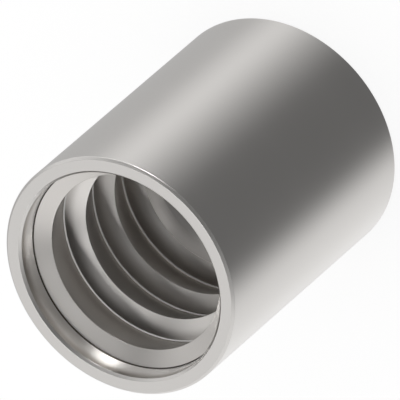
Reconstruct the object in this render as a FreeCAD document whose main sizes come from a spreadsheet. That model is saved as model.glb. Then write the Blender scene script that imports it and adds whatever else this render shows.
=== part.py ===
"""Crimp hose ferrule: a turned steel sleeve that is squeezed over a hydraulic hose and its stem.

One piece, in millimetres. It stands on its hose end with its axis on +Z and its mouth upwards.
Depths are measured down from the mouth face, radii from the axis.
"""
import FreeCAD, Part
import math
import os
import Sketcher

doc = FreeCAD.newDocument("crimp_hose_ferrule")

# Driving sizes
SIZES = (
    ("outer_diameter", 28.0, "bar that the sleeve is turned from"),
    ("total_length", 35.0, "mouth face to hose end"),
    ("edge_chamfer", 0.28, "break on the four end edges"),
    ("recess_wall", 1.85, "wall round the mouth recess"),
    ("recess_depth", 2.63, "straight part of the recess"),
    ("seat_angle", 25.0, "slope of the recess seat, in degrees off square"),
    ("root_wall", 2.16, "wall left at the sharp bottom corner of each groove"),
    ("root_radius", 0.25, "nose of the grooving tool, in the groove bottoms and the recess corner"),
    ("lip_height", 1.53, "height of the first lip above the groove corner"),
    ("rib_height", 2.26, "height of the gripping ribs above the groove corner"),
    ("rib_face_angle", 24.0, "slope of each rib's steep face, in degrees off square"),
    ("first_rib_depth", 9.45, "mouth face to the first gripping edge"),
    ("rib_pitch", 6.09, "one gripping edge to the next"),
    ("rib_count", 3, "gripping ribs after the lip"),
    ("entry_wall", 2.27, "wall round the hose entry"),
    ("entry_taper_length", 4.7, "last gripping edge to the straight entry bore"),
)
sheet = doc.addObject("Spreadsheet::Sheet", "Sizes")
for row, (name, value, meaning) in enumerate(SIZES, start=1):
    sheet.set(f"A{row}", name)
    sheet.set(f"B{row}", str(value))
    sheet.setAlias(f"B{row}", name)
    sheet.set(f"C{row}", meaning)
doc.recompute()

# Radii and heights that the sketches share, worked out from the driving sizes
OUTER = "Sizes.outer_diameter / 2"
RECESS = f"({OUTER} - Sizes.recess_wall)"
ROOT = f"({OUTER} - Sizes.root_wall)"
LIP = f"({ROOT} - Sizes.lip_height)"
EDGE = f"({ROOT} - Sizes.rib_height)"
ENTRY = f"({OUTER} - Sizes.entry_wall)"
MOUTH = "Sizes.total_length"
FIRST_EDGE = "(Sizes.total_length - Sizes.first_rib_depth)"
LAST_EDGE = f"({FIRST_EDGE} - (Sizes.rib_count - 1) * Sizes.rib_pitch)"
SEAT_DROP = f"({RECESS} - {LIP}) * tan(Sizes.seat_angle)"
FACE_RISE = "Sizes.rib_height * tan(Sizes.rib_face_angle)"
NOSE = "Sizes.root_radius"

body = doc.addObject("PartDesign::Body", "FerruleSleeve")
body.Label = "ferrule_sleeve"
half_plane = next(f for f in body.Origin.OriginFeatures if f.Role == "XZ_Plane")


def value_of(formula):
    """Work a sheet formula out once, for the first position of a sketch corner."""
    return float(sheet.evalExpression(formula))


def dimension(sketch, kind, item, value, name, formula):
    """Dimension a line's start, or a point, from the sketch origin and tie it to the sheet."""
    number = sketch.addConstraint(Sketcher.Constraint(kind, -1, 1, item, 1, value))
    sketch.renameConstraint(number, name)
    sketch.setExpression(f"Constraints.{name}", formula)


def section(name, corners):
    """Draw a closed half section through corners, each a pair of radius and height formulas.

    A corner with a third formula is rounded to that radius, and stays as the point where its two lines
    would meet. The outline runs clockwise, so the arc's end is on the line before and its start on the next.
    """
    sketch = body.newObject("Sketcher::SketchObject", name)
    sketch.AttachmentSupport = [(half_plane, "")]
    sketch.MapMode = "FlatFace"
    places = [FreeCAD.Vector(value_of(corner[0]), value_of(corner[1]), 0) for corner in corners]
    arcs, ends, starts = {}, list(places), list(places)
    for index, corner in enumerate(corners):
        if len(corner) == 3:
            rounding = value_of(corner[2])
            place, following = places[index], places[(index + 1) % len(places)]
            back, ahead = (places[index - 1] - place).normalize(), (following - place).normalize()
            half_angle = back.getAngle(ahead) / 2
            ends[index] = place + back * (rounding / math.tan(half_angle))
            starts[index] = place + ahead * (rounding / math.tan(half_angle))
            centre = place + (back + ahead).normalize() * (rounding / math.sin(half_angle))
            circle = Part.Circle(centre, FreeCAD.Vector(0, 0, 1), rounding)
            arcs[index] = Part.ArcOfCircle(
                circle, circle.parameter(starts[index]), circle.parameter(ends[index])
            )
    for index in range(len(corners)):
        sketch.addGeometry(Part.LineSegment(starts[index], ends[(index + 1) % len(corners)]))
    for index, corner in enumerate(corners):
        before = (index - 1) % len(corners)
        if index in arcs:
            arc = sketch.addGeometry(arcs[index])
            fixed = sketch.addGeometry(Part.Point(places[index]))
            sketch.addConstraint(Sketcher.Constraint("Tangent", before, 2, arc, 2))
            sketch.addConstraint(Sketcher.Constraint("Tangent", index, 1, arc, 1))
            sketch.addConstraint(Sketcher.Constraint("PointOnObject", fixed, 1, before))
            sketch.addConstraint(Sketcher.Constraint("PointOnObject", fixed, 1, index))
            number = sketch.addConstraint(Sketcher.Constraint("Radius", arc, arcs[index].Radius))
            sketch.renameConstraint(number, f"rounding_{index}")
            sketch.setExpression(f"Constraints.rounding_{index}", corner[2])
        else:
            fixed = index
            sketch.addConstraint(Sketcher.Constraint("Coincident", before, 2, index, 1))
        dimension(sketch, "DistanceX", fixed, places[index].x, f"radius_{index}", corner[0])
        if corner[1] == "0":
            sketch.addConstraint(Sketcher.Constraint("PointOnObject", fixed, 1, -1))
        else:
            dimension(sketch, "DistanceY", fixed, places[index].y, f"height_{index}", corner[1])
    doc.recompute()
    return sketch


def turned_out(name, sketch):
    """Turn a section out of the bore, and stop if the tool met no metal."""
    before = body.Shape.Volume
    groove = body.newObject("PartDesign::Groove", name)
    groove.Profile = sketch
    groove.ReferenceAxis = (sketch, ["V_Axis"])
    groove.Angle = 360
    doc.recompute()
    if not body.Shape.Volume < before:
        raise RuntimeError(f"{name} removed nothing")
    return groove


# Blank: a plain tube with the bore of the gripping edges
blank_section = section("blank_section", [(EDGE, "0"), (OUTER, "0"), (OUTER, MOUTH), (EDGE, MOUTH)])
blank = body.newObject("PartDesign::Revolution", "blank")
blank.Profile = blank_section
blank.ReferenceAxis = (blank_section, ["V_Axis"])
blank.Angle = 360
doc.recompute()

# Mouth: the recess for the stem's collar, its sloping seat, the lip and the groove behind the lip
mouth_section = section("mouth_section", [
    (EDGE, MOUTH),
    (RECESS, MOUTH),
    (RECESS, f"{MOUTH} - Sizes.recess_depth", NOSE),
    (LIP, f"{MOUTH} - Sizes.recess_depth - {SEAT_DROP}"),
    (ROOT, f"{FIRST_EDGE} + {FACE_RISE}", NOSE),
    (EDGE, FIRST_EDGE),
])
turned_out("mouth", mouth_section)

# Grooves between the ribs: a long back slope, then the steep face of the next rib
groove_section = section("groove_section", [
    (EDGE, FIRST_EDGE),
    (ROOT, f"{FIRST_EDGE} - Sizes.rib_pitch + {FACE_RISE}", NOSE),
    (EDGE, f"{FIRST_EDGE} - Sizes.rib_pitch"),
])
groove = turned_out("groove", groove_section)
before_pattern = body.Shape.Volume
grooves = body.newObject("PartDesign::LinearPattern", "grooves")
grooves.Originals = [groove]
grooves.Direction = (groove_section, ["V_Axis"])
grooves.Reversed = True
grooves.Mode = "Spacing"
grooves.setExpression("Offset", "Sizes.rib_pitch")
grooves.setExpression("Occurrences", "Sizes.rib_count - 1")
body.Tip = grooves
doc.recompute()
if not body.Shape.Volume < before_pattern:
    raise RuntimeError("the groove pattern removed nothing")

# Hose entry: the last back slope and the plain bore down to the hose end
entry_section = section("entry_section", [
    (EDGE, LAST_EDGE),
    (ENTRY, f"{LAST_EDGE} - Sizes.entry_taper_length"),
    (ENTRY, "0"),
    (EDGE, "0"),
])
entry = turned_out("entry", entry_section)

# Chamfers on the two edges of each end face
end_heights = (0.0, value_of(MOUTH))
end_edges = [
    f"Edge{number}"
    for number, edge in enumerate(entry.Shape.Edges, start=1)
    if edge.Closed and min(abs(edge.CenterOfMass.z - height) for height in end_heights) < 1e-6
]
chamfers = body.newObject("PartDesign::Chamfer", "chamfers")
chamfers.Base = (entry, end_edges)
chamfers.setExpression("Size", "Sizes.edge_chamfer")
body.Tip = chamfers
doc.recompute()

# Every object has to be sound before a file is written
for item in doc.Objects:
    if "Invalid" in item.State or "Error" in item.State:
        raise RuntimeError(f"{item.Name} failed: {item.State}")
if any(sketch.solve() != 0 for sketch in doc.Objects if sketch.TypeId == "Sketcher::SketchObject"):
    raise RuntimeError("a sketch could not be solved")
if len(end_edges) != 4:
    raise RuntimeError(f"expected 4 end edges, found {len(end_edges)}")
if body.Shape.isNull() or not body.Shape.isValid() or len(body.Shape.Solids) != 1:
    raise RuntimeError("the sleeve is not one valid solid")

os.makedirs("parts", exist_ok=True)
body.Shape.exportStep(f"parts/{body.Label}.step")
print(f"{body.Label}: {body.Shape.Volume:.1f} mm3, box {body.Shape.BoundBox}")
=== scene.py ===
"""Looks of the crimp hose ferrule, a turned steel sleeve seen from above its mouth.

Metres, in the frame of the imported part: +Z runs up the bore from the hose end, on which the sleeve stands.
"""

import math

import bpy
import numpy as np
from mathutils import Matrix, Vector


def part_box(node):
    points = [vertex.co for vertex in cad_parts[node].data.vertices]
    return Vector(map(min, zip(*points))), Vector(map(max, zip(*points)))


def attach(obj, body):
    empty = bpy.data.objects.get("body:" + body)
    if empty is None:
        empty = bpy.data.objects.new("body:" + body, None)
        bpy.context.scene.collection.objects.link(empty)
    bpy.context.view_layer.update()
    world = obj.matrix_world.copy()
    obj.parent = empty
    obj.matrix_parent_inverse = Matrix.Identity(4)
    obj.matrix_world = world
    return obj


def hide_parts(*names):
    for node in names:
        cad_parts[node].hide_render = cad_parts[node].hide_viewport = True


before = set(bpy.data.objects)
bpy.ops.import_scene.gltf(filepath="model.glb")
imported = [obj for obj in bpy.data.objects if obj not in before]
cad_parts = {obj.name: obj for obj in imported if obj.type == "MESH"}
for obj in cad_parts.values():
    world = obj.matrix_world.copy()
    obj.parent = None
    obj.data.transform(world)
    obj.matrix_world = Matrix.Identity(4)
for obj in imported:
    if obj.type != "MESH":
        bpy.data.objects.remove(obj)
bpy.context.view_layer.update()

# The sleeve: one length of free-cutting steel bar, bored, grooved and faced on a lathe and left bright.
# A recess at the mouth takes the stem's collar. Behind its lip three saw-tooth ribs grip the hose, each with
# a long back slope and a steep face. Every corner keeps the small radius of its tool or of the deburring brush.
MILLIMETRE = 0.001
sleeve_low, sleeve_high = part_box("ferrule_sleeve")
OUTER_RADIUS = sleeve_high.x / MILLIMETRE
LENGTH = sleeve_high.z / MILLIMETRE
END_CHAMFER = 0.28
RECESS_RADIUS, RECESS_DEPTH, SEAT_ANGLE = 12.15, 2.63, math.radians(25.0)
LIP_RADIUS, RIB_RADIUS, GROOVE_RADIUS = 10.31, 9.58, 11.84
FIRST_RIB_DEPTH, RIB_PITCH, RIB_COUNT, RIB_FACE_ANGLE = 9.45, 6.09, 3, math.radians(24.0)
ENTRY_RADIUS, ENTRY_TAPER_LENGTH = 11.73, 4.7
TOOL_NOSE, CUT_EDGE, BROKEN_EDGE, OUTER_BREAK, ENTRY_BLEND = 0.25, 0.04, 0.05, 0.12, 0.3
ARC_STEPS, SIDES = 8, 288
BARE_STEEL, BRIGHTER_STEEL = (0.75, 0.73, 0.707, 1.0), (0.76, 0.74, 0.717, 1.0)
# Painted sheen: lighter steel on the ribs' steep faces.
OILED_STEEL, FACE_SHEEN_STEEL = (0.758, 0.73, 0.7, 1.0), (0.965, 0.935, 0.9, 1.0)
# Painted shade: a dark ring in the recess corner, and darker steel under the rim and in the grooves.
CORNER_SHADE, GROOVE_SHADE = (0.1, 0.09, 0.08, 1.0), (0.13, 0.1, 0.07, 1.0)
# Painted sheen down the recess wall towards its foot, and a pale matt painted highlight line in the groove bottoms.
RECESS_SHEEN_STEEL, HIGHLIGHT_LINE_WHITE = (0.936, 0.934, 0.931, 1.0), (0.97, 0.96, 0.94, 1.0)
# Painted shade: its full share, and its strength under the rim, on the back slopes and at the foot of the steep
# faces.
SHADE_SHARE, WALL_SHADE, SLOPE_SHADE, FACE_SHADE = 0.5, 0.7, 0.6, 0.3
# Where the painted sheen begins and where it is full.
SHEEN_BEGINS, SHEEN_FULL = 0.1, 0.6
PASS_SCALE, HANDLING_SCALE, NOISE_DETAIL, NOISE_ROUGHNESS = 260.0, 90.0, 1.0, 0.4
NOISES_LOW, NOISES_HIGH = 0.6, 1.4
SATIN_SMOOTHEST, SATIN_ROUGHEST = 0.275, 0.295  # steel any smoother than this renders with grain


def sleeve_corners():
    """The half section's sharp corners, in metres: radius, height and rounding.

    They run from the outside of the mouth, down the bore to the hose end, and back to the outside.
    """
    seat_fall = (RECESS_RADIUS - LIP_RADIUS) * math.tan(SEAT_ANGLE)
    face_rise = (GROOVE_RADIUS - RIB_RADIUS) * math.tan(RIB_FACE_ANGLE)
    rib_heights = LENGTH - FIRST_RIB_DEPTH - RIB_PITCH * np.arange(RIB_COUNT)
    mouth = [
        (OUTER_RADIUS, LENGTH - END_CHAMFER, OUTER_BREAK),
        (OUTER_RADIUS - END_CHAMFER, LENGTH, BROKEN_EDGE),
        (RECESS_RADIUS + END_CHAMFER, LENGTH, BROKEN_EDGE),
        (RECESS_RADIUS, LENGTH - END_CHAMFER, BROKEN_EDGE),
        (RECESS_RADIUS, LENGTH - RECESS_DEPTH, TOOL_NOSE),
        (LIP_RADIUS, LENGTH - RECESS_DEPTH - seat_fall, CUT_EDGE),
    ]
    ribs = [
        corner
        for height in rib_heights
        for corner in ((GROOVE_RADIUS, height + face_rise, TOOL_NOSE), (RIB_RADIUS, height, CUT_EDGE))
    ]
    entry = [
        (ENTRY_RADIUS, rib_heights[-1] - ENTRY_TAPER_LENGTH, ENTRY_BLEND),
        (ENTRY_RADIUS, END_CHAMFER, BROKEN_EDGE),
        (ENTRY_RADIUS + END_CHAMFER, 0.0, BROKEN_EDGE),
        (OUTER_RADIUS - END_CHAMFER, 0.0, BROKEN_EDGE),
        (OUTER_RADIUS, END_CHAMFER, OUTER_BREAK),
    ]
    return np.array(mouth + ribs + entry) * MILLIMETRE


def rounded_outline(corners):
    """Turn each corner into an arc, and give the arcs' points and their normals away from the metal.

    With unit directions b and a from a corner to its neighbours and half angle h between them, the arc's centre is
    the corner plus the bisector times rounding / sin h. Its points swing evenly from the foot on b to that on a.
    """
    place, rounding = corners[:, :2], corners[:, 2:]
    back, ahead = np.roll(place, 1, axis=0) - place, np.roll(place, -1, axis=0) - place
    back /= np.linalg.norm(back, axis=1, keepdims=True)
    ahead /= np.linalg.norm(ahead, axis=1, keepdims=True)
    bisector = (back + ahead) / np.linalg.norm(back + ahead, axis=1, keepdims=True)
    half_angle = np.arccos(np.clip((back * ahead).sum(axis=1, keepdims=True), -1, 1)) / 2
    centre = place + bisector * rounding / np.sin(half_angle)
    from_spoke = (place + back * rounding / np.tan(half_angle) - centre) / rounding
    to_spoke = (place + ahead * rounding / np.tan(half_angle) - centre) / rounding
    sweep = (np.pi - 2 * half_angle)[:, None]
    share = np.linspace(0, 1, ARC_STEPS + 1)[None, :, None]
    spoke = (
        np.sin((1 - share) * sweep) * from_spoke[:, None] + np.sin(share * sweep) * to_spoke[:, None]
    ) / np.sin(sweep)
    outward = np.sign(ahead[:, 0] * back[:, 1] - ahead[:, 1] * back[:, 0])[:, None, None]
    points = centre[:, None] + spoke * rounding[:, None]
    return points.reshape(-1, 2), (spoke * outward).reshape(-1, 2)


def surface_marks(corners):
    """How strongly each arc's points are marked, from 0 to 1. Along the lines between the arcs a mark fades evenly.

    A film of cutting oil tints the bore. A dark ring of painted shade lies in the corner at the foot of the recess.
    Painted shade darkens the recess wall under the rim and the grooves, and a pale matt line along each groove bottom
    is a painted highlight. A painted sheen brightens the ribs' steep faces towards their edges and the recess wall
    towards its foot.
    """
    film, corner_shade, painted_shade, highlight_line, face_sheen, recess_sheen = np.zeros((6, len(corners), ARC_STEPS + 1))
    rim, foot, lip, bottoms = 3, 4, 5, 6 + 2 * np.arange(RIB_COUNT)  # places in the list of corners
    edges = bottoms + 1
    film[foot, 2:] = film[lip:-3] = 1.0
    # Painted shade: a dark ring in the corner at the foot of the recess.
    corner_shade[foot, 2:7] = 1.0
    # Painted shade: darker under the rim, fading down the recess wall; darker down each back slope into the groove,
    # fading up the steep face.
    painted_shade[rim] = np.linspace(0, WALL_SHADE, ARC_STEPS + 1)
    painted_shade[lip] = painted_shade[edges] = np.linspace(0, SLOPE_SHADE, ARC_STEPS + 1)
    painted_shade[edges[-1]] = np.linspace(0, 1, ARC_STEPS + 1)
    painted_shade[bottoms] = np.linspace(1, FACE_SHADE, ARC_STEPS + 1)
    # Painted highlight: a pale matt line along each groove bottom.
    highlight_line[bottoms, 4:8] = 1.0
    # Painted sheen: lighter steel up each steep face towards the rib's edge.
    face_sheen[edges] = np.linspace(1, 0, ARC_STEPS + 1)
    # Painted sheen: lighter steel down the recess wall towards its foot.
    recess_sheen[foot, :2] = 1.0
    return {"film": film, "corner_shade": corner_shade, "painted_shade": painted_shade, "highlight_line": highlight_line, "face_sheen": face_sheen, "recess_sheen": recess_sheen}


def turned_mesh(name, outline, normals, marks):
    """Turn a closed outline round Z, with its normals and marks.

    At angle t the point of radius r and height h goes to (r cos t, r sin t, h), and a normal turns in the same way.
    """
    angle = np.linspace(0, 2 * np.pi, SIDES, endpoint=False)
    spin = np.stack([np.cos(angle), np.sin(angle)], axis=1)[None]
    rows = len(outline)

    def swept(pairs):
        height = np.broadcast_to(pairs[:, None, 1:], (rows, SIDES, 1))
        return np.concatenate([pairs[:, None, :1] * spin, height], axis=2).reshape(-1, 3)

    row, side = np.arange(rows)[:, None], np.arange(SIDES)[None]
    next_row, next_side = (row + 1) % rows, (side + 1) % SIDES
    quads = np.stack(
        [row * SIDES + side, row * SIDES + next_side, next_row * SIDES + next_side, next_row * SIDES + side], axis=2
    )
    mesh = bpy.data.meshes.new(name)
    mesh.from_pydata(swept(outline).tolist(), [], quads.reshape(-1, 4).tolist())
    mesh.shade_smooth()
    mesh.normals_split_custom_set_from_vertices(swept(normals).tolist())
    for mark, share in marks.items():
        values = np.repeat(share.reshape(-1), SIDES).astype(np.float32)
        mesh.attributes.new(mark, "FLOAT", "POINT").data.foreach_set("value", values)
    return mesh


def turned_steel():
    """Satin turned steel: faint passes of the tool along radius and height, uneven handling, and the bore's marks.

    Each mark lays its own colour over the steel, in the order of the list; several are painted shade, sheen or
    highlight.
    The painted highlight line alone isn't metal.
    """
    steel = bpy.data.materials.new("turned_steel")
    steel.use_nodes = True
    nodes, links = steel.node_tree.nodes, steel.node_tree.links
    shader = nodes["Principled BSDF"]

    def node(kind, inputs=(), **settings):
        new = nodes.new(kind)
        for key, value in settings.items():
            setattr(new, key, value)
        for socket, value in dict(inputs).items():
            if isinstance(value, bpy.types.NodeSocket):
                links.new(value, new.inputs[socket])
            else:
                new.inputs[socket].default_value = value
        return new

    place = node("ShaderNodeTexCoord").outputs["Object"]
    split = node("ShaderNodeSeparateXYZ", {0: place})
    across = node("ShaderNodeCombineXYZ", {"X": split.outputs["X"], "Y": split.outputs["Y"]})
    radius = node("ShaderNodeVectorMath", {0: across.outputs[0]}, operation="LENGTH")
    section = node("ShaderNodeCombineXYZ", {"X": radius.outputs["Value"], "Y": split.outputs["Z"]})
    soft = {"Detail": NOISE_DETAIL, "Roughness": NOISE_ROUGHNESS}
    passes = node(
        "ShaderNodeTexNoise", {"Vector": section.outputs[0], "Scale": PASS_SCALE, **soft}, noise_dimensions="2D"
    )
    handling = node("ShaderNodeTexNoise", {"Vector": place, "Scale": HANDLING_SCALE, **soft})
    uneven = node("ShaderNodeMath", {0: passes.outputs["Fac"], 1: handling.outputs["Fac"]}, operation="ADD")
    satin = node(
        "ShaderNodeMapRange",
        {
            "Value": uneven.outputs[0],
            "From Min": NOISES_LOW,
            "From Max": NOISES_HIGH,
            "To Min": SATIN_SMOOTHEST,
            "To Max": SATIN_ROUGHEST,
        },
    )
    links.new(satin.outputs[0], shader.inputs["Roughness"])
    tone = node("ShaderNodeMix", {0: passes.outputs["Fac"], 6: BARE_STEEL, 7: BRIGHTER_STEEL}, data_type="RGBA")
    marks = {
        mark: node("ShaderNodeAttribute", attribute_name=mark).outputs["Fac"]
        for mark in ("film", "corner_shade", "painted_shade", "highlight_line", "face_sheen", "recess_sheen")
    }
    # Painted shade under the rim and in the grooves.
    shaded = node("ShaderNodeMath", {0: marks["painted_shade"], 1: SHADE_SHARE}, operation="MULTIPLY")
    # Painted sheen on the steep faces and down the recess wall.
    sheen_on_faces, sheen_on_recess = (
        node(
            "ShaderNodeMapRange",
            {"Value": marks[mark], "From Min": SHEEN_BEGINS, "From Max": SHEEN_FULL},
            interpolation_type="SMOOTHSTEP",
        )
        for mark in ("face_sheen", "recess_sheen")
    )
    colour = tone.outputs[2]
    for share, layer in (
        (marks["film"], OILED_STEEL),
        # painted shade in the recess corner
        (marks["corner_shade"], CORNER_SHADE),
        # painted shade under the rim and in the grooves
        (shaded.outputs[0], GROOVE_SHADE),
        # painted sheen on the steep faces
        (sheen_on_faces.outputs[0], FACE_SHEEN_STEEL),
        # painted sheen on the recess wall
        (sheen_on_recess.outputs[0], RECESS_SHEEN_STEEL),
        # painted highlight line in the groove bottoms
        (marks["highlight_line"], HIGHLIGHT_LINE_WHITE),
    ):
        colour = node("ShaderNodeMix", {0: share, 6: colour, 7: layer}, data_type="RGBA").outputs[2]
    links.new(colour, shader.inputs["Base Color"])
    # The painted highlight line is matt, not metal.
    metal = node("ShaderNodeMath", {0: 1.0, 1: marks["highlight_line"]}, operation="SUBTRACT")
    links.new(metal.outputs[0], shader.inputs["Metallic"])
    return steel


corners = sleeve_corners()
sleeve_mesh = turned_mesh("turned_sleeve", *rounded_outline(corners), surface_marks(corners))
sleeve = bpy.data.objects.new("turned_sleeve", sleeve_mesh)
bpy.context.scene.collection.objects.link(sleeve)
sleeve.data.materials.append(turned_steel())
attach(sleeve, "root")
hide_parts("ferrule_sleeve")

# The floor: a wide sheet of plain white board that the sleeve stands on. The camera sees it as white, apart from
# a part of the sleeve's own shadow. The metal mirrors the studio's lower half in its place.
FLOOR_HALF_WIDTH = 2.0
FLOOR_WHITE_SHARE = 0.85
BOARD_WHITE, PLAIN_WHITE, BOARD_ROUGHNESS = (0.96, 0.96, 0.96, 1.0), (1.0, 1.0, 1.0, 1.0), 0.9
floor_mesh = bpy.data.meshes.new("floor_board")
floor_mesh.from_pydata(
    [(x * FLOOR_HALF_WIDTH, y * FLOOR_HALF_WIDTH, 0.0) for x, y in ((-1, -1), (1, -1), (1, 1), (-1, 1))],
    [],
    [(0, 1, 2, 3)],
)
floor = bpy.data.objects.new("floor_board", floor_mesh)
bpy.context.scene.collection.objects.link(floor)
floor.visible_glossy = False
floor.visible_shadow = False
board = bpy.data.materials.new("white_board")
board.use_nodes = True
board_nodes, board_links = board.node_tree.nodes, board.node_tree.links
board_nodes["Principled BSDF"].inputs["Base Color"].default_value = BOARD_WHITE
board_nodes["Principled BSDF"].inputs["Roughness"].default_value = BOARD_ROUGHNESS
white_glow = board_nodes.new("ShaderNodeEmission")
white_glow.inputs["Color"].default_value = PLAIN_WHITE
board_rays = board_nodes.new("ShaderNodeLightPath")
white_share = board_nodes.new("ShaderNodeMath")
white_share.operation = "MULTIPLY"
white_share.inputs[1].default_value = FLOOR_WHITE_SHARE
board_mix = board_nodes.new("ShaderNodeMixShader")
board_links.new(board_rays.outputs["Is Camera Ray"], white_share.inputs[0])
board_links.new(white_share.outputs[0], board_mix.inputs[0])
board_links.new(board_nodes["Principled BSDF"].outputs[0], board_mix.inputs[1])
board_links.new(white_glow.outputs[0], board_mix.inputs[2])
board_links.new(board_mix.outputs[0], board_nodes["Material Output"].inputs["Surface"])
floor_mesh.materials.append(board)

# The studio: a white tent of plain level round the sleeve, with soft dark curtains and brighter panels and lamps.
# Each hangs at an azimuth, from the -Y side towards +X, and at a height above the horizon, in degrees. The metal
# mirrors them. The camera, and dull surfaces such as the floor, see plain white in their place.
PLAIN_LEVEL = 0.84
SKY_MAP_WIDTH = 1024
world = bpy.data.worlds.new("studio_tent")
bpy.context.scene.world = world
world.use_nodes = True
world.cycles.sampling_method = "MANUAL"
world.cycles.sample_map_resolution = SKY_MAP_WIDTH
tent_nodes, tent_links = world.node_tree.nodes, world.node_tree.links


def tent_math(operation, *values):
    """Add one arithmetic step to the tent, from sockets and numbers."""
    step = tent_nodes.new("ShaderNodeMath")
    step.operation = operation
    for socket, value in zip(step.inputs, values):
        if isinstance(value, bpy.types.NodeSocket):
            tent_links.new(value, socket)
        else:
            socket.default_value = value
    return step.outputs[0]


def soft_edge(value, edge, blur, rising=True):
    """A smooth step from 0 to 1, or from 1 to 0, that takes blur degrees round the edge."""
    ramp = tent_nodes.new("ShaderNodeMapRange")
    ramp.interpolation_type = "SMOOTHSTEP"
    tent_links.new(value, ramp.inputs["Value"])
    ramp.inputs["From Min"].default_value = edge - blur / 2
    ramp.inputs["From Max"].default_value = edge + blur / 2
    ramp.inputs["To Min"].default_value = 0.0 if rising else 1.0
    ramp.inputs["To Max"].default_value = 1.0 if rising else 0.0
    return ramp.outputs["Result"]


gaze = tent_nodes.new("ShaderNodeSeparateXYZ")
tent_links.new(tent_nodes.new("ShaderNodeTexCoord").outputs["Generated"], gaze.inputs[0])
azimuth = tent_math(
    "DEGREES", tent_math("ARCTAN2", gaze.outputs["X"], tent_math("MULTIPLY", gaze.outputs["Y"], -1.0))
)
height = tent_math("DEGREES", tent_math("ARCSINE", gaze.outputs["Z"]))


def hang(behind, level, middle, left, right, low=None, high=None):
    """Hang a panel of that level in front of what is behind: behind + (level - behind) times its soft edges.

    Left and right count from its middle. Each edge is a pair of where it lies and how many degrees it takes.
    """
    turn = tent_math("WRAP", tent_math("SUBTRACT", azimuth, middle), 180.0, -180.0)
    cover = tent_math("MULTIPLY", soft_edge(turn, -left[0], left[1]), soft_edge(turn, right[0], right[1], False))
    if low:
        cover = tent_math("MULTIPLY", cover, soft_edge(height, *low))
    if high:
        cover = tent_math("MULTIPLY", cover, soft_edge(height, *high, False))
    return tent_math("ADD", behind, tent_math("MULTIPLY", tent_math("SUBTRACT", level, behind), cover))


front_curtain = hang(PLAIN_LEVEL, 0.15, middle=-10, left=(69, 41), right=(93, 71), high=(31, 4))
front_canopy = hang(front_curtain, 0.04, middle=0, left=(107, 5), right=(116, 35), low=(36, 12), high=(89, 57))
side_panel = hang(front_canopy, 1.2, middle=60, left=(15, 68), right=(27, 18), low=(-50, 40), high=(-20, 30))
left_strip = hang(side_panel, 0.87, middle=-95, left=(37, 5), right=(51, 80), low=(-4, 4), high=(12, 13))
grey_board = hang(left_strip, 0.52, middle=165, left=(64, 5), right=(35, 4), high=(43, 70))
pale_board = hang(grey_board, 1.0, middle=-150, left=(20, 20), right=(20, 60), high=(-20, 40))
side_strip = hang(pale_board, 2.2, middle=85, left=(35, 30), right=(25, 50), low=(0, 14), high=(11, 8))
key_lamp = hang(side_strip, 14.5, middle=46, left=(11, 16), right=(7, 14), low=(2, 13), high=(15, 6))
left_lamp = hang(key_lamp, 1.85, middle=-84, left=(11, 21), right=(13, 50), low=(27, 21), high=(28, 12))
tent_level = hang(left_lamp, 3.14, middle=180, left=(76, 27), right=(80, 5), low=(67, 6))  # roof light at the back
rays = tent_nodes.new("ShaderNodeLightPath")
plain = tent_math("MAXIMUM", rays.outputs["Is Camera Ray"], rays.outputs["Is Diffuse Ray"])
seen = tent_math("ADD", tent_level, tent_math("MULTIPLY", tent_math("SUBTRACT", 1.0, tent_level), plain))
tent_links.new(seen, tent_nodes["Background"].inputs["Strength"])
tent_nodes["Background"].inputs["Color"].default_value = PLAIN_WHITE

# The camera: a long lens above the mouth, leaning to the -Y side and rolled until the bore runs up to the right.
# The aim is where the frame's centre meets the mouth's plane, counted from the middle of the mouth.
TILT, ROLL = math.radians(41.28), math.radians(40.93)
AIM_RIGHT, AIM_UP = 8.573 * MILLIMETRE, 8.134 * MILLIMETRE
CAMERA_DISTANCE, LENS_LENGTH, SENSOR_WIDTH = 1.7668, 1500.0, 36.0
NEAREST_SEEN, FARTHEST_SEEN = 0.1, 10.0
back = Vector((0.0, -math.sin(TILT), math.cos(TILT)))
down_bore = Vector((0.0, -math.cos(TILT), -math.sin(TILT)))
aside = Vector((-1.0, 0.0, 0.0))
right = down_bore * math.cos(ROLL) + aside * math.sin(ROLL)
up = down_bore * math.sin(ROLL) - aside * math.cos(ROLL)
lens = bpy.data.cameras.new("long_lens")
lens.sensor_width, lens.lens = SENSOR_WIDTH, LENS_LENGTH
lens.clip_start, lens.clip_end = NEAREST_SEEN, FARTHEST_SEEN
camera = bpy.data.objects.new("long_lens", lens)
bpy.context.scene.collection.objects.link(camera)
stand = Vector((0.0, 0.0, LENGTH * MILLIMETRE)) + right * AIM_RIGHT + up * AIM_UP + back * CAMERA_DISTANCE
camera.matrix_world = Matrix(
    [[right[k], up[k], back[k], stand[k]] for k in range(3)] + [[0.0, 0.0, 0.0, 1.0]]
)
bpy.context.scene.camera = camera

# The picture: plain colours.
bpy.context.scene.view_settings.view_transform = "Standard"
